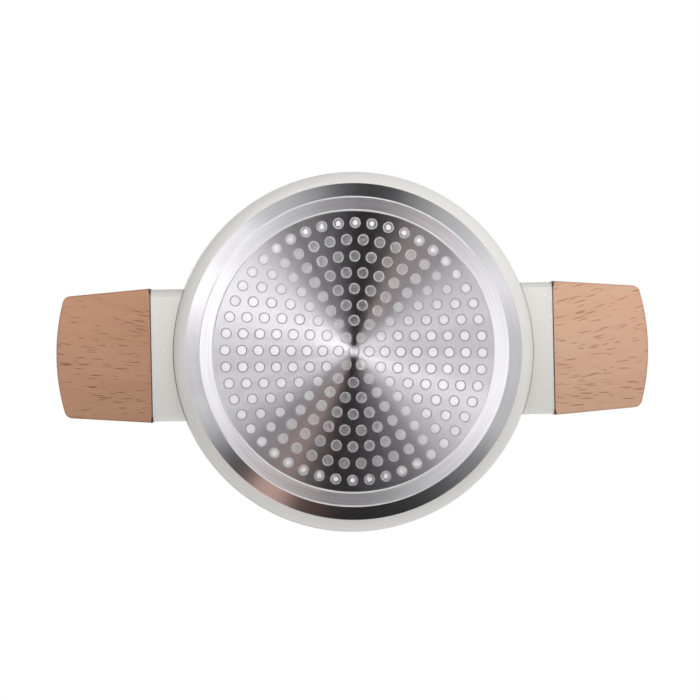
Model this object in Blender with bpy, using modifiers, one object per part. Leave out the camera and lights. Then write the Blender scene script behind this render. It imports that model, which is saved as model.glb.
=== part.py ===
"""Two-handled cooking pot with a perforated induction base and wooden grips.

Metres, +Z up. The origin is the middle of the foot, on the surface that the pot stands on, and the
handles point along +X and -X. The aluminium body is one turned solid. A thin steel disc with rings
of holes lies in a recess under it. Each handle is a bracket riveted through the wall, a hollow flame
guard over the bracket, and a grip that two long screws pull against the guard.
"""

import math

import bmesh
import bpy
from mathutils import Euler, Vector

# Clearances between pieces that touch, and how far a cutter passes what it cuts
SEAT_GAP = 0.0003
HOLE_CLEARANCE = 0.0003
OVERCUT = 0.002

# Pot body, turned from one profile
RIM_INNER_RADIUS = 0.100
POT_HEIGHT = 0.092
WALL_THICKNESS = 0.0026
WALL_FLARE = math.radians(3.4)
BASE_THICKNESS = 0.0055
HEEL_RADIUS = 0.018
RIM_OVERHANG = 0.0019
RIM_LIP_HEIGHT = 0.0028
RIM_EDGE_RADIUS = 0.0007
CHAMFER_RISE = 0.00355
CHAMFER_WIDTH = 0.0073
FOOT_RING_WIDTH = 0.0078

# Steel disc in the recess of the foot, with one hole in the middle and 6, 12, 18... round it
DISC_THICKNESS = 0.0005
DISC_INSET = 0.00025
HOLE_RADIUS = 0.0029
HOLE_RINGS = 8
HOLE_EDGE_MARGIN = 0.0062
# The outer rings stand a little further apart than the inner ones
RING_SPREAD = 0.048
# The disc is pressed in a little turned from the line of the handles
DISC_TURN = math.radians(1.7)

# Handle, as heights below the rim and lengths out from the wall
HANDLE_DROP = 0.025
FASTENER_PITCH = 0.015
BRACKET_THICKNESS = 0.003
BRACKET_SIDE = 0.0095
BRACKET_EDGE_RADIUS = 0.002
BOSS_RADIUS = 0.0042
BOSS_STEP = 0.002

RIVET_RADIUS = 0.0025
RIVET_HEAD_RADIUS = 0.0052
RIVET_HEAD_HEIGHT = 0.0014
RIVET_HEAD_EDGE = 0.0006
RIVET_TAIL_RADIUS = 0.0038
RIVET_TAIL_HEIGHT = 0.0018

GUARD_REACH = 0.0128
GUARD_WALL = 0.0025
GUARD_SIDE_SPACE = 0.003
GUARD_EDGE_RADIUS = 0.004
SPIGOT_INSET = 0.0025
SPIGOT_LENGTH = 0.0025
SMALLEST_RADIUS = 0.0005

GRIP_LENGTH = 0.0533
GRIP_PROUD = 0.0005
GRIP_TAPER = 0.0037
GRIP_END_BOW = 0.005
GRIP_CORNER_RADIUS = 0.0046
GRIP_EDGE_RADIUS = 0.0018

SCREW_RADIUS = 0.0024
SCREW_HEAD_RADIUS = 0.00425
SCREW_HEAD_HEIGHT = 0.0028
SCREW_HEAD_EDGE = 0.0006
SCREW_RECESS = 0.0005
SCREW_KEY_RADIUS = 0.0018
SCREW_KEY_DEPTH = 0.0016
SCREW_TIP = 0.0008
WASHER_RADIUS = 0.005
WASHER_THICKNESS = 0.0008

# Facets of round shapes
BODY_STEPS = 64
HOLE_SIDES = 7
FASTENER_STEPS = 12
SHARP_ANGLE = math.radians(35)

# Sizes that follow from the ones above
HANDLE_HEIGHT = POT_HEIGHT - HANDLE_DROP
SCREW_OFFSET = 1.5 * FASTENER_PITCH
RIVET_OFFSET = 0.5 * FASTENER_PITCH
RECESS_DEPTH = DISC_INSET + DISC_THICKNESS + SEAT_GAP
BRACKET_WIDTH = 2 * (SCREW_OFFSET + BRACKET_SIDE)
BRACKET_HEIGHT = 2 * (BOSS_RADIUS + BOSS_STEP)
CAVITY_WIDTH = BRACKET_WIDTH + 2 * GUARD_SIDE_SPACE
CAVITY_THICKNESS = BRACKET_HEIGHT + 2 * SEAT_GAP
GUARD_WIDTH = CAVITY_WIDTH + 2 * GUARD_WALL
GUARD_THICKNESS = CAVITY_THICKNESS + 2 * GUARD_WALL
SPIGOT_WIDTH = GUARD_WIDTH - 2 * SPIGOT_INSET
SPIGOT_THICKNESS = GUARD_THICKNESS - 2 * SPIGOT_INSET
GRIP_WIDTH = GUARD_WIDTH + 2 * GRIP_PROUD
GRIP_THICKNESS = GUARD_THICKNESS + 2 * GRIP_PROUD
GRIP_START = GUARD_REACH + SEAT_GAP
GRIP_END = GRIP_START + GRIP_LENGTH
COUNTERBORE_RADIUS = WASHER_RADIUS + HOLE_CLEARANCE

COATING = (0.70, 0.69, 0.65)
ALUMINIUM = (0.80, 0.80, 0.81)
STEEL = (0.52, 0.52, 0.53)
BEECH = (0.50, 0.27, 0.16)
ZINC = (0.62, 0.62, 0.60)


def clear_scene():
    for obj in list(bpy.data.objects):
        bpy.data.objects.remove(obj)


def collection(name):
    made = bpy.data.collections.new(name)
    bpy.context.scene.collection.children.link(made)
    return made


def material(name, colour, roughness, metallic):
    made = bpy.data.materials.new(name)
    made.use_nodes = True
    shader = made.node_tree.nodes["Principled BSDF"]
    shader.inputs["Base Color"].default_value = (*colour, 1)
    shader.inputs["Roughness"].default_value = roughness
    shader.inputs["Metallic"].default_value = metallic
    return made


def empty(name, location, turn, group):
    made = bpy.data.objects.new(name, None)
    made.location = location
    made.rotation_euler = (0, 0, turn)
    group.objects.link(made)
    return made


def place(obj, parent, location=(0, 0, 0), rotation=(0, 0, 0)):
    obj.parent = parent
    obj.location = location
    obj.rotation_euler = rotation


def mesh_object(name, bm, group):
    mesh = bpy.data.meshes.new(name)
    bm.to_mesh(mesh)
    bm.free()
    obj = bpy.data.objects.new(name, mesh)
    group.objects.link(obj)
    return obj


def arc(centre, radius, start, end, steps):
    """Points on a circle round centre, from one angle to another, both included."""
    angles = [start + (end - start) * i / steps for i in range(steps + 1)]
    return [(centre[0] + radius * math.cos(a), centre[1] + radius * math.sin(a)) for a in angles]


def turned(name, profile, steps, group, closed=False):
    """A solid of revolution about Z. The profile (radius, height) runs down its outer side."""
    bm = bmesh.new()
    points = [bm.verts.new((radius, 0, height)) for radius, height in profile]
    for first, second in zip(points, points[1:] + points[:1] if closed else points[1:]):
        bm.edges.new((first, second))
    obj = mesh_object(name, bm, group)
    screw = obj.modifiers.new("Turn", "SCREW")
    screw.steps = steps
    screw.render_steps = steps
    screw.use_merge_vertices = True
    screw.merge_threshold = 0.00001
    return obj


def cylinder(name, radius, start, end, sides, group):
    """A cylinder about Z between two heights."""
    bm = bmesh.new()
    bmesh.ops.create_cone(
        bm, cap_ends=True, segments=sides, radius1=radius, radius2=radius, depth=end - start
    )
    bmesh.ops.translate(bm, verts=bm.verts, vec=(0, 0, (start + end) / 2))
    return mesh_object(name, bm, group)


def bar(name, start, end, width, thickness, radius, group, steps=3):
    """A bar along X, with its four long edges rounded."""
    bm = bmesh.new()
    bmesh.ops.create_cube(bm, size=1)
    bmesh.ops.scale(bm, verts=bm.verts, vec=(end - start, width, thickness))
    bmesh.ops.translate(bm, verts=bm.verts, vec=((start + end) / 2, 0, 0))
    long_edges = [e for e in bm.edges if abs((e.verts[0].co - e.verts[1].co).normalized().x) > 0.5]
    radius = max(radius, SMALLEST_RADIUS)
    bmesh.ops.bevel(bm, geom=long_edges, offset=radius, segments=steps, profile=0.5, affect="EDGES")
    return mesh_object(name, bm, group)


def plate(name, outlines, thickness, group):
    """A flat plate in XY, centred on Z = 0. Outlines after the first are holes in it."""
    curve = bpy.data.curves.new(name, "CURVE")
    curve.dimensions = "2D"
    curve.fill_mode = "BOTH"
    curve.extrude = thickness / 2
    for outline in outlines:
        spline = curve.splines.new("POLY")
        spline.points.add(len(outline) - 1)
        for point, (x, y) in zip(spline.points, outline):
            point.co = (x, y, 0, 1)
        spline.use_cyclic_u = True
    drawn = bpy.data.objects.new(name, curve)
    group.objects.link(drawn)
    graph = bpy.context.evaluated_depsgraph_get()
    mesh = bpy.data.meshes.new_from_object(drawn.evaluated_get(graph))
    bpy.data.objects.remove(drawn)
    bm = bmesh.new()
    bm.from_mesh(mesh)
    bpy.data.meshes.remove(mesh)
    bmesh.ops.remove_doubles(bm, verts=bm.verts, dist=0.000001)
    bmesh.ops.recalc_face_normals(bm, faces=bm.faces)
    return mesh_object(name, bm, group)


def boolean(obj, operation, other):
    other.display_type = "WIRE"
    other.hide_render = True
    cut = obj.modifiers.new(other.name, "BOOLEAN")
    cut.operation = operation
    cut.solver = "EXACT"
    cut.object = other


def finish(obj, look):
    """Keeps the shape that the modifiers make as the object's mesh, shades it and gives its material."""
    graph = bpy.context.evaluated_depsgraph_get()
    mesh = bpy.data.meshes.new_from_object(obj.evaluated_get(graph))
    obj.modifiers.clear()
    obj.data = mesh
    mesh.name = obj.name
    mesh.shade_smooth()
    mesh.set_sharp_from_angle(angle=SHARP_ANGLE)
    mesh.materials.clear()
    mesh.materials.append(look)


def wall_radius(height, offset=0.0):
    """Radius of the flared wall's outer face at a height, or of a face set off square from it."""
    top = RIM_INNER_RADIUS + WALL_THICKNESS / math.cos(WALL_FLARE)
    return top - (POT_HEIGHT - height) * math.tan(WALL_FLARE) + offset / math.cos(WALL_FLARE)


def heel_centre(radius, lowest, offset):
    """Centre of the arc that rounds a flat bottom into the wall, touching both."""
    touch = lowest + radius - radius * math.sin(WALL_FLARE)
    across = wall_radius(touch, offset) - radius * math.cos(WALL_FLARE)
    return across, lowest + radius


def foot_radii():
    """Outer radius of the machined chamfer, outer radius of the foot ring, radius of the recess."""
    across, height = heel_centre(HEEL_RADIUS, 0, 0)
    chamfer = across + math.sqrt(HEEL_RADIUS**2 - (height - CHAMFER_RISE) ** 2)
    ring = chamfer - CHAMFER_WIDTH
    return chamfer, ring, ring - FOOT_RING_WIDTH


def rim_profile():
    """From the inner wall over the flat land and the lip, down to the outer wall."""
    lip = wall_radius(POT_HEIGHT) + RIM_OVERHANG
    edge = RIM_EDGE_RADIUS
    inner_edge = (RIM_INNER_RADIUS + edge, POT_HEIGHT - edge)
    outer_edge = (lip - edge, POT_HEIGHT - edge)
    under = POT_HEIGHT - RIM_LIP_HEIGHT
    cove_end = under - RIM_OVERHANG
    cove = arc((lip, cove_end), RIM_OVERHANG, math.radians(90), math.radians(180), 3)
    reach = lip - RIM_OVERHANG - wall_radius(cove_end)
    # The cove leans in with the flared wall, so that it ends on it
    leaning = [(x - reach * (under - z) / RIM_OVERHANG, z) for x, z in cove]
    return (
        arc(inner_edge, edge, math.radians(180), math.radians(90), 1)
        + arc(outer_edge, edge, math.radians(90), 0, 2)
        + leaning
    )


def body_profile():
    inner_radius = HEEL_RADIUS - WALL_THICKNESS
    inner_heel = heel_centre(inner_radius, BASE_THICKNESS, -WALL_THICKNESS)
    outer_heel = heel_centre(HEEL_RADIUS, 0, 0)
    chamfer, ring, recess = foot_radii()
    chamfer_angle = -math.acos((chamfer - outer_heel[0]) / HEEL_RADIUS)
    return (
        [(0, BASE_THICKNESS)]
        + arc(inner_heel, inner_radius, math.radians(-90), -WALL_FLARE, 5)
        + rim_profile()
        + arc(outer_heel, HEEL_RADIUS, -WALL_FLARE, chamfer_angle, 5)
        + [(ring, 0), (recess, 0), (recess, RECESS_DEPTH), (0, RECESS_DEPTH)]
    )


def ring_radius(ring, outermost):
    """Radius of a ring of holes. The spacing widens evenly towards the outermost ring."""
    share = ring / HOLE_RINGS
    return outermost * share * (1 + RING_SPREAD * (share - 1))


def disc_outlines():
    radius = foot_radii()[2] - SEAT_GAP
    full = 2 * math.pi
    outlines = [arc((0, 0), radius, 0, full * (1 - 1 / BODY_STEPS), BODY_STEPS - 1)]
    turn = full / HOLE_SIDES
    outermost = radius - HOLE_EDGE_MARGIN
    for ring in range(HOLE_RINGS + 1):
        count = max(1, 6 * ring)
        for angle in (full * i / count for i in range(count)):
            across = ring_radius(ring, outermost)
            centre = (across * math.cos(angle), across * math.sin(angle))
            start = angle + turn / 2
            outlines.append(arc(centre, HOLE_RADIUS, start, start + full - turn, HOLE_SIDES - 1))
    return outlines


def grip_outline():
    """Tapering block with a bowed outer end, whose corners are filleted between side and bow."""
    half = GRIP_WIDTH / 2
    end_half = half - GRIP_TAPER
    bow_radius = (end_half**2 + GRIP_END_BOW**2) / (2 * GRIP_END_BOW)
    bow_centre = Vector((GRIP_END - bow_radius, 0))
    root = Vector((GRIP_START, half))
    along = (Vector((GRIP_END - GRIP_END_BOW, end_half)) - root).normalized()
    inward = Vector((along.y, -along.x))
    offset = root + inward * GRIP_CORNER_RADIUS - bow_centre
    slope = offset.dot(along)
    reach = (bow_radius - GRIP_CORNER_RADIUS) ** 2 - offset.length_squared + slope**2
    corner = bow_centre + offset + along * (math.sqrt(reach) - slope)
    side_angle = math.atan2(-inward.y, -inward.x)
    bow_angle = math.atan2(corner.y, corner.x - bow_centre.x)
    fillet = arc(corner, GRIP_CORNER_RADIUS, side_angle, bow_angle, 4)
    bow = arc(bow_centre, bow_radius, bow_angle, -bow_angle, 8)[1:-1]
    mirrored = [(x, -y) for x, y in reversed(fillet)]
    return [(root.x, root.y)] + fillet + bow + mirrored + [(root.x, -root.y)]


def screw_head_top():
    """Outermost point of a screw head, sunk below the lowest edge of its counterbore."""
    end_half = GRIP_WIDTH / 2 - GRIP_TAPER
    bow_radius = (end_half**2 + GRIP_END_BOW**2) / (2 * GRIP_END_BOW)
    edge = SCREW_OFFSET + COUNTERBORE_RADIUS
    return GRIP_END - bow_radius + math.sqrt(bow_radius**2 - edge**2) - SCREW_RECESS


def screw_profile():
    """Head and shank about Z, with the top of the head at Z = 0 and the tip just off the wall."""
    top_edge = arc(
        (SCREW_HEAD_RADIUS - SCREW_HEAD_EDGE, -SCREW_HEAD_EDGE),
        SCREW_HEAD_EDGE,
        math.radians(90),
        0,
        2,
    )
    tip = BRACKET_THICKNESS / 2 - screw_head_top()
    return (
        [(0, 0)]
        + top_edge
        + [
            (SCREW_HEAD_RADIUS, -SCREW_HEAD_HEIGHT),
            (SCREW_RADIUS, -SCREW_HEAD_HEIGHT),
            (SCREW_RADIUS, tip + SCREW_TIP),
            (SCREW_RADIUS - SCREW_TIP, tip),
            (0, tip),
        ]
    )


def rivet_profile():
    """Head inside the pot and tail on the bracket, about Z, with Z = 0 on the wall's outer face."""
    inner_radius = wall_radius(HANDLE_HEIGHT, -WALL_THICKNESS)
    # The flat head meets the hollow wall with its edge first
    sagitta = RIVET_HEAD_RADIUS**2 / (2 * inner_radius)
    head_back = -WALL_THICKNESS - SEAT_GAP - sagitta
    head_face = head_back - RIVET_HEAD_HEIGHT
    tail = BRACKET_THICKNESS + 2 * SEAT_GAP
    dome = [
        (RIVET_TAIL_RADIUS * math.sin(a), tail + RIVET_TAIL_HEIGHT * math.cos(a))
        for a in (math.radians(45 * i) for i in range(3))
    ]
    return dome + [
        (RIVET_RADIUS, tail),
        (RIVET_RADIUS, head_back),
        (RIVET_HEAD_RADIUS, head_back),
        (RIVET_HEAD_RADIUS, head_face + RIVET_HEAD_EDGE),
        (RIVET_HEAD_RADIUS - RIVET_HEAD_EDGE, head_face),
        (0, head_face),
    ]


def washer_profile():
    """Ring about Z under the screw head, as a closed loop. Z = 0 is the top of the head."""
    top = -SCREW_HEAD_HEIGHT - SEAT_GAP
    bottom = top - WASHER_THICKNESS
    bore = SCREW_RADIUS + HOLE_CLEARANCE
    return [(bore, top), (WASHER_RADIUS, top), (WASHER_RADIUS, bottom), (bore, bottom)]


def wall_band(name, offset, group):
    """Solid inside a cone that stands off the wall, as high as a handle with room to spare."""
    low = HANDLE_HEIGHT - GUARD_THICKNESS
    high = HANDLE_HEIGHT + GUARD_THICKNESS
    outer = [(wall_radius(high, offset), high), (wall_radius(low, offset), low)]
    return turned(name, [(0, high)] + outer + [(0, low)], BODY_STEPS, group)


def along_x():
    """Rotation that lays a shape's Z axis along the handle, pointing away from the pot."""
    return Euler((0, math.radians(90), 0))


def make_body(parts):
    return turned("pot_body", body_profile(), BODY_STEPS, parts)


def make_disc(parts):
    disc = plate("induction_disc", disc_outlines(), DISC_THICKNESS, parts)
    disc.location.z = DISC_INSET + DISC_THICKNESS / 2
    disc.rotation_euler.z = DISC_TURN
    return disc


def make_rivets(side, frame, mirror, body, bracket, parts, cutters):
    """Two rivets square to the flared wall, with their holes through wall and bracket."""
    radius = wall_radius(HANDLE_HEIGHT)
    made = []
    for row, sign in (("front", -mirror), ("rear", mirror)):
        azimuth = sign * math.asin(RIVET_OFFSET / radius)
        across = (radius * (math.cos(azimuth) - 1), radius * math.sin(azimuth), 0)
        rotation = (0, math.radians(90) + WALL_FLARE, azimuth)
        rivet = turned(f"{side}_{row}_rivet", rivet_profile(), FASTENER_STEPS, parts)
        place(rivet, frame, across, rotation)
        hole = cylinder(
            f"{side}_{row}_rivet_hole",
            RIVET_RADIUS + HOLE_CLEARANCE,
            -WALL_THICKNESS - OVERCUT,
            BRACKET_THICKNESS + OVERCUT,
            FASTENER_STEPS,
            cutters,
        )
        place(hole, frame, across, rotation)
        boolean(body, "DIFFERENCE", hole)
        boolean(bracket, "DIFFERENCE", hole)
        made.append(rivet)
    return made


def make_bracket(side, frame, contour, face, parts, cutters):
    """Curved plate on the wall with two tapped bosses that reach the guard's end wall."""
    inside = -GUARD_WIDTH / 2
    name = f"{side}_handle_bracket"
    bracket = bar(
        name, inside, GUARD_REACH, BRACKET_WIDTH, BRACKET_HEIGHT, BRACKET_EDGE_RADIUS, parts
    )
    place(bracket, frame)
    boolean(bracket, "INTERSECT", face)
    boss_end = GUARD_REACH - GUARD_WALL - SEAT_GAP
    bore_radius = SCREW_RADIUS + HOLE_CLEARANCE
    for row, offset in (("a", -SCREW_OFFSET), ("b", SCREW_OFFSET)):
        boss = cylinder(f"{name}_boss_{row}", BOSS_RADIUS, inside, boss_end, FASTENER_STEPS, cutters)
        bore = cylinder(
            f"{name}_bore_{row}",
            bore_radius,
            inside - OVERCUT,
            boss_end + OVERCUT,
            FASTENER_STEPS,
            cutters,
        )
        place(boss, frame, (0, offset, 0), along_x())
        place(bore, frame, (0, offset, 0), along_x())
        boolean(bracket, "UNION", boss)
        boolean(bracket, "DIFFERENCE", bore)
    boolean(bracket, "DIFFERENCE", contour)
    return bracket


def make_guard(side, frame, contour, parts, cutters):
    """Hollow shell over the bracket, open towards the pot, with a spigot for the grip."""
    inside = -GUARD_WIDTH / 2
    name = f"{side}_flame_guard"
    guard = bar(
        name, inside, GUARD_REACH, GUARD_WIDTH, GUARD_THICKNESS, GUARD_EDGE_RADIUS, parts, steps=4
    )
    spigot = bar(
        f"{name}_spigot",
        GUARD_REACH - GUARD_WALL / 2,
        GUARD_REACH + SPIGOT_LENGTH,
        SPIGOT_WIDTH,
        SPIGOT_THICKNESS,
        GUARD_EDGE_RADIUS - SPIGOT_INSET,
        cutters,
    )
    cavity = bar(
        f"{name}_cavity",
        inside - OVERCUT,
        GUARD_REACH - GUARD_WALL,
        CAVITY_WIDTH,
        CAVITY_THICKNESS,
        GUARD_EDGE_RADIUS - GUARD_WALL,
        cutters,
    )
    for obj in (guard, spigot, cavity):
        place(obj, frame)
    boolean(guard, "UNION", spigot)
    boolean(guard, "DIFFERENCE", cavity)
    boolean(guard, "DIFFERENCE", contour)
    return guard


def make_grip(side, frame, parts, cutters):
    """Solid wooden grip with a socket for the guard's spigot."""
    name = f"{side}_grip"
    grip = plate(name, [grip_outline()], GRIP_THICKNESS, parts)
    round_over = grip.modifiers.new("Rounded edges", "BEVEL")
    round_over.width = GRIP_EDGE_RADIUS
    round_over.segments = 2
    round_over.limit_method = "ANGLE"
    round_over.angle_limit = SHARP_ANGLE
    socket = bar(
        f"{name}_socket",
        GRIP_START - OVERCUT,
        GUARD_REACH + SPIGOT_LENGTH + SEAT_GAP,
        SPIGOT_WIDTH + 2 * SEAT_GAP,
        SPIGOT_THICKNESS + 2 * SEAT_GAP,
        GUARD_EDGE_RADIUS - SPIGOT_INSET + SEAT_GAP,
        cutters,
    )
    place(grip, frame)
    place(socket, frame)
    boolean(grip, "DIFFERENCE", socket)
    return grip


def make_screws(side, frame, mirror, guard, grip, parts, cutters):
    """Long screws with washers, from counterbores in the grip's end into the bracket's bosses."""
    head_top = screw_head_top()
    seat = head_top - SCREW_HEAD_HEIGHT - WASHER_THICKNESS - 2 * SEAT_GAP
    made = []
    for row, sign in (("front", -mirror), ("rear", mirror)):
        name = f"{side}_{row}_screw"
        screw = turned(name, screw_profile(), FASTENER_STEPS, parts)
        key = cylinder(
            f"{name}_key", SCREW_KEY_RADIUS, -SCREW_KEY_DEPTH, OVERCUT, 6, cutters
        )
        washer = turned(
            f"{side}_{row}_washer", washer_profile(), FASTENER_STEPS, parts, closed=True
        )
        for obj in (screw, key, washer):
            place(obj, frame, (head_top, sign * SCREW_OFFSET, 0), along_x())
        boolean(screw, "DIFFERENCE", key)
        shaft = cylinder(
            f"{name}_hole",
            SCREW_RADIUS + HOLE_CLEARANCE,
            GUARD_REACH - GUARD_WALL - OVERCUT,
            GRIP_END + OVERCUT,
            FASTENER_STEPS,
            cutters,
        )
        counterbore = cylinder(
            f"{name}_counterbore",
            COUNTERBORE_RADIUS,
            seat,
            GRIP_END + OVERCUT,
            FASTENER_STEPS,
            cutters,
        )
        for obj in (shaft, counterbore):
            place(obj, frame, (0, sign * SCREW_OFFSET, 0), along_x())
        boolean(guard, "DIFFERENCE", shaft)
        boolean(grip, "DIFFERENCE", shaft)
        boolean(grip, "DIFFERENCE", counterbore)
        made.append((screw, washer))
    return made


def main():
    clear_scene()
    parts = collection("cooking_pot")
    cutters = collection("cutters")
    cutters.hide_render = True

    body = make_body(parts)
    looks = {
        body: material("coating", COATING, 0.38, 0),
        make_disc(parts): material("spun_steel", STEEL, 0.3, 1),
    }
    contour = wall_band("handle_contour", SEAT_GAP, cutters)
    face = wall_band("bracket_face", SEAT_GAP + BRACKET_THICKNESS, cutters)

    for side, turn, mirror in (("right", 0, 1), ("left", math.pi, -1)):
        reach = mirror * wall_radius(HANDLE_HEIGHT)
        frame = empty(f"{side}_handle", (reach, 0, HANDLE_HEIGHT), turn, parts)
        bracket = make_bracket(side, frame, contour, face, parts, cutters)
        guard = make_guard(side, frame, contour, parts, cutters)
        grip = make_grip(side, frame, parts, cutters)
        looks[bracket] = material(f"{side}_bracket_metal", ALUMINIUM, 0.45, 1)
        looks[guard] = material(f"{side}_guard_coating", COATING, 0.38, 0)
        looks[grip] = material(f"{side}_beech", BEECH, 0.5, 0)
        for rivet in make_rivets(side, frame, mirror, body, bracket, parts, cutters):
            looks[rivet] = material(f"{rivet.name}_metal", ALUMINIUM, 0.35, 1)
        for screw, washer in make_screws(side, frame, mirror, guard, grip, parts, cutters):
            looks[screw] = material(f"{screw.name}_metal", ZINC, 0.3, 1)
            looks[washer] = material(f"{washer.name}_metal", ZINC, 0.35, 1)

    bpy.context.view_layer.update()
    for obj, look in looks.items():
        finish(obj, look)


main()
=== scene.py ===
from math import acos, asin, atan, atan2, cos, pi, radians, sin, sqrt, tan

import bmesh
import bpy
import numpy as np
from mathutils import Matrix, Vector


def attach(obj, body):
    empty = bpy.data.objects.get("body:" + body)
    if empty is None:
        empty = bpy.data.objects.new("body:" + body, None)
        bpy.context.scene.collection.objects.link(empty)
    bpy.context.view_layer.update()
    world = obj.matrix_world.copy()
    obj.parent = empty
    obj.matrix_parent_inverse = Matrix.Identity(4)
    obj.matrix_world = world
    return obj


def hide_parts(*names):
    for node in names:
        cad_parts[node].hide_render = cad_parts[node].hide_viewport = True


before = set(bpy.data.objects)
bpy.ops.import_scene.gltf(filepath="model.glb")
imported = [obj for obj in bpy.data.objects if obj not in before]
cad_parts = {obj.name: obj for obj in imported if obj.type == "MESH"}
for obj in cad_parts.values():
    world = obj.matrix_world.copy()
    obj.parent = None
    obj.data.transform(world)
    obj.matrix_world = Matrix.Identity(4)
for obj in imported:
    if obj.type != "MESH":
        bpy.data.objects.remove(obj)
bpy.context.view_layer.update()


# POT BODY
# One aluminium blank, spun to a flat floor, a rounded heel and a flared wall with a rolled lip. It is
# sprayed all over with a speckled off-white coating, and its foot is then turned bare on a lathe.

POT_HEIGHT = 0.092
RIM_INNER_RADIUS = 0.100
WALL_THICKNESS = 0.0026
WALL_FLARE = radians(3.4)
FLOOR_HEIGHT = 0.0055
HEEL_RADIUS = 0.018
LIP_OVERHANG = 0.0019
LIP_HEIGHT = 0.0028
LIP_EDGE = 0.0007
CHAMFER_RISE = 0.00355
CHAMFER_WIDTH = 0.0073
FOOT_RING_WIDTH = 0.0078
RECESS_DEPTH = 0.00105
FOOT_STEP = 0.00042
STEP_WIDTH = 0.00012
EDGE_WIDTH = 0.00075
RECESS_EDGE = 0.0008
RECESS_EDGE_FLATNESS = 0.3
BODY_STEPS = 288
SHADING_HOLD = 0.00006
SHARP_ANGLE = 35
COATING_COLOUR = (0.80, 0.785, 0.755)
FOOT_COLOUR = (0.955, 0.943, 0.98)
# cells to a metre, size within a cell, share of the cells without a grain, colour
GRAINS = ((300, 0.17, 0.45, (1.0, 0.995, 0.98)), (170, 0.07, 0.80, (0.52, 0.49, 0.44)))
# place round the axis and half length in degrees, strength
CHATTER_ARCS = ((-110, 9, 1.0), (165, 8, 0.5), (-66, 5, 0.35))
CHATTER_FADE = 8


def arc(centre, radius, start, end, count):
    """Points round a centre at even angles: the centre plus the radius times (cosine, sine)."""
    angles = np.linspace(start, end, count)
    return np.column_stack((centre[0] + radius * np.cos(angles), centre[1] + radius * np.sin(angles)))


def joined(*runs):
    """Runs of points with straight lines between them. Each line has a point just inside either end, which
    keeps the shading along it flat."""
    rows = []
    for run, after in zip(runs, runs[1:]):
        start, end = np.array(run[-1], float), np.array(after[0], float)
        step = (end - start) / np.linalg.norm(end - start) * SHADING_HOLD
        rows += [run, (start + step, end - step)]
    return np.vstack((*rows, runs[-1]))


def wall_radius(height, offset=0.0):
    """Radius of the wall's outer cone at a height, or of a cone set off square from it."""
    top = RIM_INNER_RADIUS + WALL_THICKNESS / cos(WALL_FLARE)
    return top - (POT_HEIGHT - height) * tan(WALL_FLARE) + offset / cos(WALL_FLARE)


def heel_centre(radius, lowest, offset):
    """Centre of the arc that touches both a flat bottom and the cone of the wall."""
    touch = lowest + radius - radius * sin(WALL_FLARE)
    return wall_radius(touch, offset) - radius * cos(WALL_FLARE), lowest + radius


def coated_outline():
    """From the middle of the floor up the inside, over the land and lip, and down to the bare foot."""
    quarter = pi / 2
    inner_radius = HEEL_RADIUS - WALL_THICKNESS
    inner_heel = heel_centre(inner_radius, FLOOR_HEIGHT, -WALL_THICKNESS)
    lip = wall_radius(POT_HEIGHT) + LIP_OVERHANG
    under = POT_HEIGHT - LIP_HEIGHT
    cove = arc((lip, under - LIP_OVERHANG), LIP_OVERHANG, quarter, 2 * quarter, 7)
    reach = lip - LIP_OVERHANG - wall_radius(under - LIP_OVERHANG)
    cove[:, 0] -= reach * (under - cove[:, 1]) / LIP_OVERHANG
    heel = heel_centre(HEEL_RADIUS, 0, 0)
    bare = -acos((foot_radii()[0] - heel[0]) / HEEL_RADIUS)
    inside = arc(inner_heel, inner_radius, -quarter, -WALL_FLARE, 14)
    inner_edge = arc((RIM_INNER_RADIUS + LIP_EDGE, POT_HEIGHT - LIP_EDGE), LIP_EDGE, 2 * quarter, quarter, 5)
    outer_edge = arc((lip - LIP_EDGE, POT_HEIGHT - LIP_EDGE), LIP_EDGE, quarter, 0, 5)
    outside = arc(heel, HEEL_RADIUS, -WALL_FLARE, bare, 22)
    return joined(((0, FLOOR_HEIGHT),), inside, inner_edge, outer_edge, cove, outside)


def foot_radii():
    """Outer radius of the chamfer, outer radius of the foot ring and radius of the recess."""
    across, height = heel_centre(HEEL_RADIUS, 0, 0)
    chamfer = across + sqrt(HEEL_RADIUS**2 - (height - CHAMFER_RISE) ** 2)
    ring = chamfer - CHAMFER_WIDTH
    return chamfer, ring, ring - FOOT_RING_WIDTH


def bare_outline():
    """The chamfer, the small step left by the tool, the flat foot ring with its rounded inner edge, and the
    recess."""
    chamfer, ring, recess = foot_radii()
    slope = (CHAMFER_RISE - FOOT_STEP) / (CHAMFER_WIDTH - FOOT_STEP)
    step_foot = (ring + STEP_WIDTH, FOOT_STEP - slope * (FOOT_STEP - STEP_WIDTH))
    round_off = (ring + 0.00005, 0.0001), (ring, 0.00003), (ring - 0.0001, 0)
    step = np.array((step_foot, *round_off, (ring - EDGE_WIDTH, 0)))
    edge = arc((0, 0), RECESS_EDGE, -pi / 2, -pi, 5) * (1, RECESS_EDGE_FLATNESS)
    edge += (recess + RECESS_EDGE, RECESS_EDGE * RECESS_EDGE_FLATNESS)
    return joined(((chamfer, CHAMFER_RISE),), step, edge, ((recess, RECESS_DEPTH),), ((0, RECESS_DEPTH),))


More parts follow.
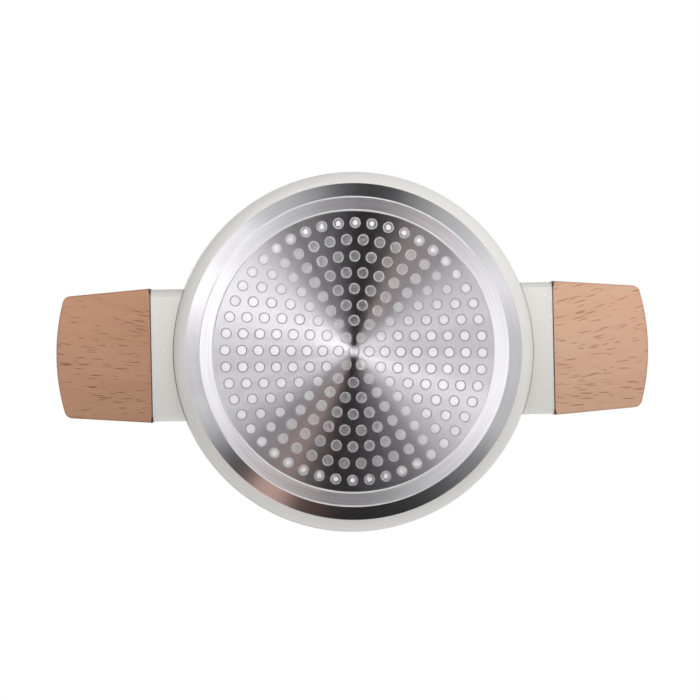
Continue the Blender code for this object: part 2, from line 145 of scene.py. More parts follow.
def piece_of(name, points, looks, faces=None, zones=None, sharp=SHARP_ANGLE):
    """A piece from an array of points and the four-sided faces on them, or on the grid that they form. Points
    in one place are joined, so that seams and poles close, and edges bent by more than the sharp angle stay
    crisp. The zones pick a look for each face."""
    if faces is None:
        faces = grid_faces(*points.shape[:2])
    mesh = bpy.data.meshes.new(name)
    mesh.from_pydata(points.reshape(-1, 3).tolist(), [], faces.tolist())
    if zones is not None:
        mesh.polygons.foreach_set("material_index", zones)
    work = bmesh.new()
    work.from_mesh(mesh)
    bmesh.ops.remove_doubles(work, verts=work.verts, dist=0.000001)
    bmesh.ops.recalc_face_normals(work, faces=work.faces)
    work.to_mesh(mesh)
    work.free()
    mesh.shade_smooth()
    mesh.set_sharp_from_angle(angle=radians(sharp))
    for look in looks:
        mesh.materials.append(look)
    piece = bpy.data.objects.new(name, mesh)
    bpy.context.scene.collection.objects.link(piece)
    return piece


def grid_faces(rows, columns, closed=False):
    """Faces between neighbouring rows and columns of a grid. The columns run round and join, and the rows
    join end to end when closed."""
    index = np.arange(rows * columns).reshape(rows, columns)
    if closed:
        index = np.vstack((index, index[:1]))
    beside = np.roll(index, -1, axis=1)
    return np.stack((index[:-1], index[1:], beside[1:], beside[:-1]), axis=-1).reshape(-1, 4)


def turned_points(outline, steps, stretch=1.0):
    """Turns an outline round Z: (radius, height) becomes (radius cos a, radius sin a, height) at every step
    of a. stretch multiplies the radius, by row and by step, where a turned shape is not round."""
    turn = np.arange(steps) * 2 * np.pi / steps
    radius = outline[:, :1] * np.ones(steps) * stretch
    height = outline[:, 1:] * np.ones(steps)
    return np.stack((radius * np.cos(turn), radius * np.sin(turn), height), axis=-1)


def node(tree, kind, inputs=None, **settings):
    """Adds a shader node with its settings. Each input takes a value or the output of another node."""
    made = tree.nodes.new("ShaderNode" + kind)
    for key, value in settings.items():
        setattr(made, key, value)
    for socket, value in (inputs or {}).items():
        if isinstance(value, bpy.types.NodeSocket):
            tree.links.new(value, made.inputs[socket])
        else:
            made.inputs[socket].default_value = value
    return made


def maths(tree, operation, *values):
    return node(tree, "Math", dict(enumerate(values)), operation=operation).outputs[0]


def product(tree, first, second):
    return maths(tree, "MULTIPLY", first, second)


def vectors(tree, operation, *values):
    made = node(tree, "VectorMath", dict(enumerate(values)), operation=operation)
    return made.outputs["Value" if operation in ("LENGTH", "DOT_PRODUCT") else "Vector"]


def between(tree, value, low, high, start=0.0, end=1.0):
    """Eases from start to end while the value goes from low to high."""
    inputs = {"Value": value, "From Min": low, "From Max": high, "To Min": start, "To Max": end}
    return node(tree, "MapRange", inputs, interpolation_type="SMOOTHSTEP").outputs["Result"]


def here(tree):
    """The place of the shaded point in the pot's own frame."""
    return node(tree, "TexCoord").outputs["Object"]


def parts_of(tree, vector):
    """The x, y and z of a place or direction."""
    return node(tree, "SeparateXYZ", {0: vector}).outputs


def flat_part(tree, vector):
    """The part of a place or direction that is square to the pot's axis."""
    return vectors(tree, "MULTIPLY", vector, (1, 1, 0))


def noise(tree, vector, scale, detail=2.0):
    return node(tree, "TexNoise", {"Vector": vector, "Scale": scale, "Detail": detail}).outputs["Fac"]


def noise_along(tree, value, scale, detail):
    """Noise that changes with one value only."""
    inputs = {"W": value, "Scale": scale, "Detail": detail}
    return node(tree, "TexNoise", inputs, noise_dimensions="1D").outputs["Fac"]


def tint(tree, share, first, second, mode="MIX"):
    """Blends two colours by a share from 0 to 1."""
    made = node(tree, "Mix", data_type="RGBA", blend_type=mode)
    for socket, value in ((0, share), (6, first), (7, second)):
        if isinstance(value, bpy.types.NodeSocket):
            tree.links.new(value, made.inputs[socket])
        else:
            made.inputs[socket].default_value = (*value, 1) if socket else value
    return made.outputs[2]


def gray(tree, level):
    return node(tree, "CombineColor", {0: level, 1: level, 2: level}).outputs[0]


def dimmed(tree, colour, level):
    """A colour times a level."""
    return tint(tree, 1.0, colour, gray(tree, level), "MULTIPLY")


def new_look(name, metallic, roughness):
    look = bpy.data.materials.new(name)
    look.use_nodes = True
    shader = look.node_tree.nodes["Principled BSDF"]
    shader.inputs["Metallic"].default_value = metallic
    shader.inputs["Roughness"].default_value = roughness
    return look.node_tree, shader, look


def feed(shader, colour, roughness=None, height=None, strength=0.0, distance=0.0):
    """Links a colour, a roughness and the height of a bump to a shader."""
    links = shader.id_data.links
    links.new(colour, shader.inputs["Base Color"])
    if roughness:
        links.new(roughness, shader.inputs["Roughness"])
    if height:
        bump = node(shader.id_data, "Bump", {"Height": height, "Strength": strength, "Distance": distance})
        links.new(bump.outputs["Normal"], shader.inputs["Normal"])


def over(look, share, second):
    """Mixes a look's shader with a second one, by a share from 0 to 1."""
    tree = look.node_tree
    first = tree.nodes["Principled BSDF"].outputs[0]
    mixed = node(tree, "MixShader", {0: share, 1: first, 2: second.outputs[0]})
    tree.links.new(mixed.outputs[0], tree.nodes["Material Output"].inputs[0])


def speckled_coating(name):
    """Sprayed stoneware finish: off-white with pale grains, one to a cell of about 3 mm and only in some of
    the cells, a few dim grains, soft clouds in the colour and a fine orange peel."""
    tree, shader, look = new_look(name, 0, 0.4)
    place = here(tree)
    clouds = noise(tree, place, 26, 3)
    colour = tint(tree, clouds, [0.975 * c for c in COATING_COLOUR], [1.02 * c for c in COATING_COLOUR])
    bent = node(tree, "TexNoise", {"Vector": place, "Scale": 700, "Detail": 1}).outputs["Color"]
    wobble = vectors(tree, "MULTIPLY_ADD", bent, (0.0006, 0.0006, 0.0006), place)
    for scale, size, rarity, grain in GRAINS:
        cells = node(tree, "TexVoronoi", {"Vector": wobble, "Scale": scale})
        near = between(tree, cells.outputs["Distance"], size * 0.6, size, 1, 0)
        picked = node(tree, "SeparateColor", {"Color": cells.outputs["Color"]}).outputs["Red"]
        share = product(tree, near, between(tree, picked, rarity, rarity + 0.03))
        colour = tint(tree, product(tree, share, 0.8), colour, grain)
    peel = noise(tree, place, 420)
    feed(shader, colour, between(tree, peel, 0.3, 0.7, 0.34, 0.44), peel, 0.06, 0.0004)
    return look


def turned_metal(name, colour, roughness, grain, groove=0, streak=0, chatter=0, spokes_and_highlight=0, lean=0):
    """Bare metal off the lathe. Its grooves run round the pot's axis, so that it spreads light outwards and
    inwards and hardly sideways, and their facets lean outwards by a slope. Lines as fine as the tool's feed
    shade it, streaks are long arcs among them, spokes are slow changes round the axis with a paler middle
    that is a painted highlight, and chatter is the short radial marks of a tool that shook."""
    tree, shader, look = new_look(name, 1, roughness)
    shader.inputs["Anisotropic"].default_value = grain
    place = here(tree)
    across = vectors(tree, "LENGTH", flat_part(tree, place))
    outward = vectors(tree, "NORMALIZE", flat_part(tree, place))
    tree.links.new(outward, shader.inputs["Tangent"])
    lines = noise_along(tree, across, 2600, 3)
    bands = noise_along(tree, across, 420, 1)
    drift = noise(tree, vectors(tree, "MULTIPLY_ADD", outward, (7, 7, 7), place), 1, 3)
    shade = tint(tree, lines, [0.94 * c for c in colour], [1.05 * c for c in colour])
    shade = tint(tree, between(tree, bands, 0.3, 0.7), shade, colour)
    if streak:
        ridge = node(tree, "CombineXYZ", {2: product(tree, across, 900)}).outputs[0]
        swirl = noise(tree, vectors(tree, "MULTIPLY_ADD", outward, (2, 2, 2), ridge), 1, 3)
        shade = dimmed(tree, shade, between(tree, swirl, 0.3, 0.7, 1 - streak, 1 + streak))
    if spokes_and_highlight:
        slow = between(tree, drift, 0.3, 0.7, 1 - spokes_and_highlight, 1 + spokes_and_highlight)
        # Painted highlight: up to 18% paler within 10 mm of the axis, fading out by 32 mm.
        middle = between(tree, across, 0.010, 0.032, 1.18, 1)
        shade = dimmed(tree, shade, product(tree, slow, middle))
    height = product(tree, lines, groove)
    if chatter:
        parts = parts_of(tree, place)
        angle = maths(tree, "ARCTAN2", parts[1], parts[0])
        blunt = product(tree, noise(tree, place, 260, 1), 9)
        wave = maths(tree, "SINE", maths(tree, "MULTIPLY_ADD", angle, 455, blunt))
        worn = between(tree, noise(tree, place, 70), 0.3, 0.6, 0.2, 1.3)
        strength = 0.0
        for degrees, half, force in CHATTER_ARCS:
            turn = radians(degrees)
            beside = vectors(tree, "DOT_PRODUCT", outward, (cos(turn), sin(turn), 0))
            ends = np.cos(np.radians((half + CHATTER_FADE, half)))
            strength = maths(tree, "ADD", between(tree, beside, *ends, 0, force), strength)
        mark = product(tree, wave, product(tree, worn, strength))
        shade = dimmed(tree, shade, maths(tree, "MULTIPLY_ADD", mark, chatter, 1))
    feed(shader, shade, between(tree, drift, 0.25, 0.75, roughness * 0.95, roughness * 1.05))
    face = node(tree, "NewGeometry").outputs["Normal"]
    facet = vectors(tree, "NORMALIZE", vectors(tree, "MULTIPLY_ADD", outward, (lean, lean, lean), face))
    bump = node(tree, "Bump", {"Height": height, "Strength": 0.25, "Distance": 0.00003, "Normal": facet})
    tree.links.new(bump.outputs["Normal"], shader.inputs["Normal"])
    return look


def broken_edge_with_side_shade(name, colour, metallic):
    """A turned edge broken with an abrasive: a matt grey from every side, between metal and stone, with
    painted shade to the left and right of the axis."""
    tree, shader, look = new_look(name, metallic, 0.55)
    place = here(tree)
    nicks = noise(tree, place, 900)
    fresh = tint(tree, nicks, [0.85 * c for c in colour], colour)
    # Painted shade: left and right of the axis the colour is darkened towards 0.4 of itself.
    across = parts_of(tree, vectors(tree, "NORMALIZE", place))[0]
    side = between(tree, maths(tree, "ABSOLUTE", across), 0.6, 0.95, 0, 0.6)
    colour = tint(tree, side, fresh, [0.4 * c for c in colour])
    feed(shader, colour, between(tree, nicks, 0.3, 0.7, 0.5, 0.6))
    return look


def ring_edge_painted_light(name):
    """The two edges of the foot ring. At the sides they are the ring's own turned metal, with painted shade
    on the left, the outer edge most. At the front and rear they are matt and nearly white as a painted
    highlight."""
    look = turned_metal(name, FOOT_COLOUR, 0.58, 0.85)
    tree = look.node_tree
    shader = tree.nodes["Principled BSDF"]
    place = here(tree)
    outward = vectors(tree, "NORMALIZE", flat_part(tree, place))
    middle = foot_radii()[1] - FOOT_RING_WIDTH / 2
    # Painted shade: on the left the metal is darkened, to 0.85 on the inner edge and 0.7 on the outer.
    outer = between(tree, vectors(tree, "LENGTH", place), middle - 0.001, middle + 0.001, 0.85, 0.7)
    left = vectors(tree, "DOT_PRODUCT", outward, (-1, 0.05, 0))
    metal = shader.inputs["Base Color"].links[0].from_socket
    feed(shader, dimmed(tree, metal, between(tree, left, 0.8, 0.9, 1, outer)))
    # Painted highlight: at the front and rear the edges are mixed into a matt near-white shader.
    rear = parts_of(tree, outward)[1]
    painted_highlight_white = gray(tree, between(tree, rear, -0.95, -0.6, 0.62, 1))
    painted_highlight_shader = node(tree, "BsdfPrincipled", {"Base Color": painted_highlight_white, "Roughness": 0.55, "Metallic": 0.1})
    over(look, between(tree, maths(tree, "ABSOLUTE", rear), 0.5, 0.85), painted_highlight_shader)
    return look


coating = speckled_coating("speckled_coating")
foot_metal = turned_metal("turned_foot", FOOT_COLOUR, 0.58, 0.85, groove=1, streak=0.05, lean=0.052)
chamfer_metal = turned_metal("turned_chamfer", (0.606, 0.597, 0.620), 0.38, 1.0, streak=0.03, chatter=0.11)
edge_metal = broken_edge_with_side_shade("broken_edge_with_side_shade", (0.77, 0.76, 0.78), 0.45)
ring_edge_metal = ring_edge_painted_light("ring_edge_painted_light")

coated, bare = coated_outline(), bare_outline()
body_outline = np.vstack((coated, bare))
# rows of faces: coating, bare foot, then the chamfer and the foot ring's outer and inner edge
body_zones = np.where(np.arange(len(body_outline) - 1) < len(coated), 0, 1)
body_zones[len(coated) - 1 : len(coated) + 3] = 2
body_zones[len(coated) + 3 : len(coated) + 7] = 3
body_zones[len(coated) + 10 : len(coated) + 14] = 3
pot_body = piece_of(
    "coated_pot_body",
    turned_points(body_outline, BODY_STEPS),
    (coating, foot_metal, chamfer_metal, ring_edge_metal),
    zones=np.repeat(body_zones, BODY_STEPS),
)
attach(pot_body, "root")
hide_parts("pot_body")


# INDUCTION DISC
# A thin stainless plate, punched with rings of holes and pressed hard into the soft foot. It is faced on
# the lathe with the foot, so that its grooves run round the same axis.

DISC_LOW = 0.00025
DISC_HIGH = 0.00075
DISC_EDGE_GAP = 0.0001
DISC_EDGE_ROUND = 0.0002
DISC_EDGE_RISE = 0.00015
DISC_TURN = radians(1.7)
HOLE_RADIUS = 0.0029
HOLE_LIP = 0.00014
HOLE_RINGS = 8
OUTERMOST_RING = foot_radii()[2] - 0.0065
RING_SPREAD = 0.048
# points along the side of a hole's sector, ring by ring
SIDE_STEPS = (8, 8, 6, 6, 5, 4, 4, 4)
STEEL_COLOUR = (0.701, 0.676, 0.716)


def ring_radius(ring):
    """Radius of a ring of holes, whose spacing widens evenly towards the outermost."""
    share = ring / HOLE_RINGS
    return OUTERMOST_RING * share * (1 + RING_SPREAD * (share - 1))


def hole_centres():
    """Middle of every hole as x, y and ring: one in the middle, then six times the ring's number in each."""
    rings = np.repeat(np.arange(1, HOLE_RINGS + 1), 6 * np.arange(1, HOLE_RINGS + 1))
    first = 3 * rings * (rings - 1)
    turn = 2 * np.pi * (np.arange(len(rings)) - first) / (6 * rings)
    radius = ring_radius(rings)
    centres = np.column_stack((radius * np.cos(turn), radius * np.sin(turn), rings))
    return np.vstack(((0, 0, 0), centres))


def cell_boundary(ring, inner, outer):
    """Polar edge of the sector of steel round one hole: out along an arc, down a side, back along the inner
    arc and up the other side. Its arcs are divided so that neighbouring rings share their points."""
    half = pi / (6 * ring)
    out = 2 * (ring + 1) if ring < HOLE_RINGS else 10
    back = 2 * (ring - 1) if ring > 1 else 4
    side = SIDE_STEPS[ring - 1]
    angle = np.concatenate((
        np.linspace(-half, half, out + 1)[:-1],
        np.full(side, half),
        np.linspace(half, -half, back + 1)[:-1],
        np.full(side, -half),
    ))
    radius = np.concatenate((
        np.full(out, outer),
        np.linspace(outer, inner, side + 1)[:-1],
        np.full(back, inner),
        np.linspace(inner, outer, side + 1)[:-1],
    ))
    return angle, radius


def perforated_cells(ring, inner, outer):
    """Steel round every hole of one ring. Each row scales the directions from the hole's middle to the
    sector's edge: the upper face, the wall of the hole, its rolled lip and the lower face."""
    across = ring_radius(ring) if ring else 0.0
    if ring:
        angle, radius = cell_boundary(ring, inner, outer)
    else:
        angle, radius = np.arange(24) * np.pi / 12, np.full(24, outer)
    edge = np.column_stack((radius * np.cos(angle) - across, radius * np.sin(angle)))
    way = edge / np.linalg.norm(edge, axis=1)[:, None]
    reach = HOLE_RADIUS + HOLE_LIP * np.array((0, 0, 1))[:, None, None]
    rows = np.concatenate((edge[None], reach * way, edge[None]))
    height = np.array((DISC_HIGH, DISC_HIGH, DISC_LOW + HOLE_LIP, DISC_LOW, DISC_LOW))
    count = max(1, 6 * ring)
    turn = (np.arange(count) * 2 * np.pi / count)[:, None, None]
    x = rows[None, :, :, 0] + across
    y = rows[None, :, :, 1]
    points = np.stack((
        x * np.cos(turn) - y * np.sin(turn),
        x * np.sin(turn) + y * np.cos(turn),
        np.broadcast_to(height[None, :, None], (count, len(height), len(angle))),
    ), axis=-1)
    faces = grid_faces(len(height), len(angle))
    each = len(height) * len(angle)
    zones = np.tile(np.repeat((0, 0, 1, 0), len(angle)), count)
    faces = faces[None] + each * np.arange(count)[:, None, None]
    return points.reshape(-1, 3), faces.reshape(-1, 4), zones


def disc_arrays():
    """All the cells, ring by ring, and the plate's outer edge as four turned rows."""
    radius = foot_radii()[2] - DISC_EDGE_GAP
    limits = [(ring_radius(ring) + ring_radius(ring + 1)) / 2 for ring in range(HOLE_RINGS)]
    limits.append(radius - DISC_EDGE_ROUND)
    parts = [perforated_cells(ring, limits[ring - 1], limits[ring]) for ring in range(HOLE_RINGS + 1)]
    edge = np.array((
        (radius - DISC_EDGE_ROUND, DISC_LOW),
        (radius, DISC_LOW + DISC_EDGE_RISE),
        (radius, DISC_HIGH),
        (radius - DISC_EDGE_ROUND, DISC_HIGH),
    ))
    steps = 60 * HOLE_RINGS
    faces = grid_faces(len(edge), steps)
    parts.append((turned_points(edge, steps).reshape(-1, 3), faces, np.full(len(faces), 2)))
    starts = np.cumsum([0] + [len(points) for points, _, _ in parts[:-1]])
    return (
        np.vstack([points for points, _, _ in parts]),
        np.vstack([faces + start for (_, faces, _), start in zip(parts, starts)]),
        np.concatenate([zones for _, _, zones in parts]),
    )


def placed(points, matrix):
    """Moves an array of points by a 4 by 4 matrix."""
    matrix = np.array(matrix)
    return points @ matrix[:3, :3].T + matrix[:3, 3]


disc_metal = turned_metal("spun_steel", STEEL_COLOUR, 0.42, 1.0, streak=0.02, spokes_and_highlight=0.06, lean=0.070)
disc_points, disc_faces, disc_zones = disc_arrays()
disc_points = placed(disc_points, Matrix.Rotation(DISC_TURN, 4, "Z"))
disc_looks = (disc_metal, edge_metal, ring_edge_metal)
induction_disc = piece_of("perforated_steel_disc", disc_points, disc_looks, disc_faces, disc_zones)
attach(induction_disc, "root")
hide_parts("induction_disc")


# METAL IN THE HOLES
# The press drives the pot's own aluminium through every hole of the steel plate, which is what holds the
# plate. Each plug ends in a shallow dish with a rounded brim, just inside the face of the plate.

# radius and height, from the middle of the hidden end round the brim to the middle of the dish
PLUG_OUTLINE = np.array((
    (0, 0.00104), (0.00287, 0.00104), (0.00286, 0.00048), (0.00279, 0.00036), (0.00252, 0.00034),
    (0.00247, 0.00041), (0.00165, 0.00043), (0.00140, 0.00041), (0.00115, 0.00044), (0, 0.00045),
))
# faces in the plugs' own metal, or in that of a broken edge
PLUG_ZONES = (0, 1, 1, 1, 1, 0, 0, 0, 0)
PLUG_STEPS = 12


def dished_plug(name):
    """Turned aluminium as pale as a fresh cut, smoother in the middle of each dish and faintly matt all over.
    The middle of each dish in the outermost ring is a pale matt spot as a painted glint, the next ring's a
    little."""
    look = turned_metal(name, (0.93, 0.91, 0.95), 0.56, 0.93)
    tree = look.node_tree
    shader = tree.nodes["Principled BSDF"]
    dish = parts_of(tree, node(tree, "UVMap", uv_map="dish").outputs[0])
    tree.links.new(between(tree, dish[0], 0.3, 0.5, 0.43, 0.56), shader.inputs["Roughness"])
    # Painted glint: the dishes of the outermost ring, and a little those of the next ring, turn pale and matt
    # in the middle.
    limit = between(tree, dish[1], 0.8, 1.0, 0.0, 0.54)
    matt_and_glint_share = between(tree, maths(tree, "SUBTRACT", limit, dish[0]), 0.0, 0.09, 0.11, 1)
    matt_and_glint_shader = node(tree, "BsdfPrincipled", {"Roughness": 0.8, "Metallic": 0.6})
    matt_and_glint_shader.inputs["Base Color"].default_value = (0.95, 0.94, 0.95, 1)
    over(look, matt_and_glint_share, matt_and_glint_shader)
    return look


holes = hole_centres()
centres = placed(holes * (1, 1, 0), Matrix.Rotation(DISC_TURN, 4, "Z"))
rings = holes[:, 2]
rings[0] = HOLE_RINGS
plug = turned_points(PLUG_OUTLINE, PLUG_STEPS).reshape(-1, 3)
plug_faces = grid_faces(len(PLUG_OUTLINE), PLUG_STEPS)
plugs = piece_of(
    "aluminium_hole_plugs",
    plug[None] + centres[:, None],
    (dished_plug("dished_plug"), edge_metal),
    (plug_faces[None] + len(plug) * np.arange(len(centres))[:, None, None]).reshape(-1, 4),
    np.tile(np.repeat(PLUG_ZONES, PLUG_STEPS), len(centres)),
    sharp=50,
)
# how far out each corner lies in its dish, and in which ring the dish lies
corners = np.empty(len(plugs.data.vertices) * 3, np.float32)
plugs.data.vertices.foreach_get("co", corners)
corners = corners.reshape(-1, 3)
nearest = np.argmin(np.linalg.norm(corners[:, None, :2] - centres[None, :, :2], axis=2), axis=1)
dish_share = np.linalg.norm(corners[:, :2] - centres[nearest, :2], axis=1) / PLUG_OUTLINE[1, 0]
loops = np.empty(len(plugs.data.loops), np.int32)
plugs.data.loops.foreach_get("vertex_index", loops)
dish_map = np.column_stack((dish_share, rings[nearest] / HOLE_RINGS))[loops].astype(np.float32)
plugs.data.uv_layers.new(name="dish").uv.foreach_set("vector", dish_map.ravel())
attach(plugs, "root")


# HANDLE BRACKETS AND RIVETS
# A cast plate with two bosses stands against the wall on each side. Two aluminium rivets go through wall
# and plate: their flat heads lie inside the pot, and their tails are headed over in the guard.

SIDES = (("right", 1), ("left", -1))
ROWS = (("front", -1), ("rear", 1))
ROUND_STEPS = 40
HANDLE_HEIGHT = POT_HEIGHT - 0.025
WALL_AT_HANDLE = wall_radius(HANDLE_HEIGHT)
SCREW_OFFSET = 0.0225
RIVET_OFFSET = 0.0075
RIVET_BORE = 0.0028
RIVET_SHANK = 0.0025
RIVET_TAIL = 0.0038
RIVET_TAIL_BASE = 0.0036
RIVET_TAIL_FLATNESS = 0.4737
RIVET_TAIL_LIFT = 0.0018947
RIVET_HEAD = 0.0052
RIVET_HEAD_ROUND = 0.0007
RIVET_HEAD_BASE = -0.0030347
RIVET_HEAD_MIDDLE = RIVET_HEAD_BASE - RIVET_HEAD_ROUND
RIVET_HEAD_TOP = RIVET_HEAD_MIDDLE - RIVET_HEAD_ROUND
RIVET_HEAD_FLAT = RIVET_HEAD - RIVET_HEAD_ROUND
RIVET_BORE_ENDS = (-0.0046, 0.003)
rivet_tail = arc((0, RIVET_TAIL_BASE), RIVET_TAIL, pi / 2, 0, 7) * (1, RIVET_TAIL_FLATNESS)
rivet_head = arc((RIVET_HEAD_FLAT, RIVET_HEAD_MIDDLE), RIVET_HEAD_ROUND, 0, -pi / 2, 5)
RIVET_OUTLINE = joined(
    (*rivet_tail + (0, RIVET_TAIL_LIFT), (RIVET_SHANK, RIVET_TAIL_BASE), (RIVET_SHANK, RIVET_HEAD_BASE)),
    ((RIVET_HEAD, RIVET_HEAD_BASE), *rivet_head),
    ((0, RIVET_HEAD_TOP),),
)


def cast_aluminium(name):
    """Bare die-cast or headed aluminium: satin, faintly mottled, with a fine pitted grain."""
    tree, shader, look = new_look(name, 1, 0.42)
    place = here(tree)
    mottle = noise(tree, place, 300, 3)
    colour = tint(tree, mottle, (0.70, 0.70, 0.71), (0.84, 0.84, 0.85))
    rough = between(tree, mottle, 0.3, 0.7, 0.36, 0.5)
    feed(shader, colour, rough, noise(tree, place, 1400), 0.15, 0.0002)
    return look


def dress(piece, cad_node):
    """Hangs a finished piece on the pot in place of its CAD node."""
    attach(piece, "root")
    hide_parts(cad_node)


def settle(piece, *cutters):
    """Makes what the modifiers give the piece's own mesh and removes the tools that cut it."""
    graph = bpy.context.evaluated_depsgraph_get()
    mesh = bpy.data.meshes.new_from_object(piece.evaluated_get(graph))
    piece.modifiers.clear()
    piece.data = mesh
    mesh.name = piece.name
    mesh.shade_smooth()
    mesh.set_sharp_from_angle(angle=radians(SHARP_ANGLE))
    for cutter in cutters:
        bpy.data.objects.remove(cutter)


def cut(piece, points):
    """Takes a shape made from a grid of points out of a piece, and gives back the shape."""
    tool = piece_of("cutter", points, piece.data.materials)
    hole = piece.modifiers.new("hole", "BOOLEAN")
    hole.solver = "EXACT"
    hole.object = tool
    return tool


def drill(piece, radius, start, end, matrix):
    """Cuts a round hole along the matrix's Z axis, between two heights on it."""
    outline = np.array(((0, end), (radius, end), (radius, start), (0, start)))
    return cut(piece, placed(turned_points(outline, ROUND_STEPS), matrix))


def turned_piece(name, outline, matrix, look, closed=False):
    """A small round part, turned along the matrix's Z axis."""
    points = placed(turned_points(outline, ROUND_STEPS), matrix)
    return piece_of(name, points, (look,), grid_faces(len(outline), ROUND_STEPS, closed))


metal = cast_aluminium("headed_aluminium")
rivet_tools = []
for side, sign in SIDES:
    bracket_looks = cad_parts[f"{side}_handle_bracket"].data.materials
    bracket_looks.clear()
    bracket_looks.append(metal)
    for row, rear in ROWS:
        azimuth = acos(sign) + sign * rear * asin(RIVET_OFFSET / WALL_AT_HANDLE)
        stand = (WALL_AT_HANDLE * cos(azimuth), WALL_AT_HANDLE * sin(azimuth), HANDLE_HEIGHT)
        slant = Matrix.Rotation(azimuth, 4, "Z") @ Matrix.Rotation(pi / 2 + WALL_FLARE, 4, "Y")
        spot = Matrix.Translation(stand) @ slant
        rivet = turned_piece(f"{side}_{row}_wall_rivet", RIVET_OUTLINE, spot, metal)
        dress(rivet, f"{side}_{row}_rivet")
        rivet_tools.append(drill(pot_body, RIVET_BORE, *RIVET_BORE_ENDS, spot))
settle(pot_body, *rivet_tools)


# FLAME GUARDS
# A coated shell on each side keeps the wood away from the flame. It slides over the bracket, its open end
# is cut to the curve of the wall, and a spigot on its closed end carries the grip.

GUARD_LENGTH = 0.0128
GUARD_END = WALL_AT_HANDLE + GUARD_LENGTH
GUARD_HALF_WIDTH = 0.0375
GUARD_HALF_HEIGHT = 0.0090
GUARD_CORNER = 0.0040
GUARD_WALL = 0.0025
GUARD_CROWN = 0.0006
GUARD_GAP = 0.00025
LEAST_CORNER = 0.0006
# tones of the painted shade on the guards' front-edge strip
EDGE_SHADE_TONES = (0.74, 0.90)
SPIGOT_LENGTH = 0.0025
SPIGOT_INSET = 0.0025
SCREW_BORE = 0.0027
CUT_PAST = 0.002


def section(half_width, half_height, corner, crown=0.0):
    """A rectangle with round corners, across Y and Z, as one loop of points. Its two long faces can be
    crowned: they fall away from the middle with the square of the distance."""
    spread = np.linspace(-1, 1, 17)[1:-1]
    bend = np.linspace(0, pi / 2, 9)
    y_in, z_in = half_width - corner, half_height - corner
    top = np.column_stack((spread * y_in, np.full(len(spread), half_height)))
    side = np.column_stack((np.full(3, half_width), np.linspace(1, -1, 5)[1:-1] * z_in))
    round_one = np.column_stack((y_in + corner * np.sin(bend), z_in + corner * np.cos(bend)))
    round_two = np.column_stack((y_in + corner * np.cos(bend), -z_in - corner * np.sin(bend)))
    half = np.vstack((top, round_one, side, round_two))
    loop = np.vstack((half, -half))
    loop[:, 1] -= np.sign(loop[:, 1]) * crown * (loop[:, 0] / half_width) ** 2
    return loop


def guard_coating_with_painted_shade(name, width, gap, shadow_tone):
    """The same coating, with painted shade on a strip along the front edge and a painted contact shadow where
    the open end meets the wall. The gap that shows is told by the distance from the wall's cone."""
    look = speckled_coating(name)
    tree = look.node_tree
    shader = tree.nodes["Principled BSDF"]
    place = here(tree)
    parts = parts_of(tree, place)
    radius = vectors(tree, "LENGTH", flat_part(tree, place))
    cone = maths(tree, "MULTIPLY_ADD", parts[2], tan(WALL_FLARE), wall_radius(0))
    # Painted contact shadow: the open end darkens just past the wall's cone.
    joint_shadow = between(tree, maths(tree, "SUBTRACT", radius, cone), gap, gap + 0.0003, shadow_tone, 1)
    inward = maths(tree, "ADD", parts[1], GUARD_HALF_WIDTH)
    # Painted shade: a strip along the front edge is darkened.
    strip = between(tree, inward, -0.0015, width, *EDGE_SHADE_TONES)
    face = between(tree, inward, width - 0.0002, width + 0.0003)
    tone = product(tree, joint_shadow, maths(tree, "MAXIMUM", strip, face))
    feed(shader, dimmed(tree, shader.inputs["Base Color"].links[0].from_socket, tone))
    return look


def guard_points(sign):
    """Rows of sections from the bottom of the cavity out to the open end, over its lip, back along the
    outside to the closed end and over the spigot. The open end's x is the wall's circle at each point's
    height."""

    def row(inset, x=None, past=0.0, outer=True):
        wall = inset if outer else inset + GUARD_WALL
        crown = GUARD_CROWN if outer else 0
        corner = max(LEAST_CORNER, GUARD_CORNER - wall)
        loop = section(GUARD_HALF_WIDTH - wall, GUARD_HALF_HEIGHT - wall, corner, crown)
        height = HANDLE_HEIGHT + loop[:, 1]
        cone = wall_radius(height, GUARD_GAP)
        along = np.sqrt(cone**2 - loop[:, 0] ** 2) + past if x is None else np.full(len(loop), x)
        return np.column_stack((sign * along, sign * loop[:, 0], height))

    def pole(x, like):
        return np.broadcast_to((sign * x, 0, HANDLE_HEIGHT), like.shape)

    tip = GUARD_END + SPIGOT_LENGTH
    cavity = [row(0, GUARD_END - GUARD_WALL, outer=False)]
    cavity += [row(0, past=0.0002, outer=False), row(-0.0003, outer=False)]
    lip = [row(0.0008), row(0.0003, past=0.00035), row(0.0001, past=0.0008), row(0, past=0.0014)]
    end = [row(0, GUARD_END - 0.0006), row(0, GUARD_END - 0.0005)]
    end += [row(0.00015, GUARD_END - 0.00015), row(0.0005, GUARD_END)]
    spigot = [row(SPIGOT_INSET, GUARD_END), row(SPIGOT_INSET, tip - 0.0003), row(SPIGOT_INSET + 0.0003, tip)]
    bottom = pole(GUARD_END - GUARD_WALL, cavity[0])
    return np.stack([bottom, *cavity, *lip, *end, *spigot, pole(tip, bottom)])


def along_screw(sign, offset, out=0.0):
    """Matrix whose Z axis runs outwards along one of a handle's screws, from a distance off the pot's own."""
    start = Matrix.Translation((sign * out, offset, HANDLE_HEIGHT))
    return start @ Matrix.Rotation(sign * pi / 2, 4, "Y")


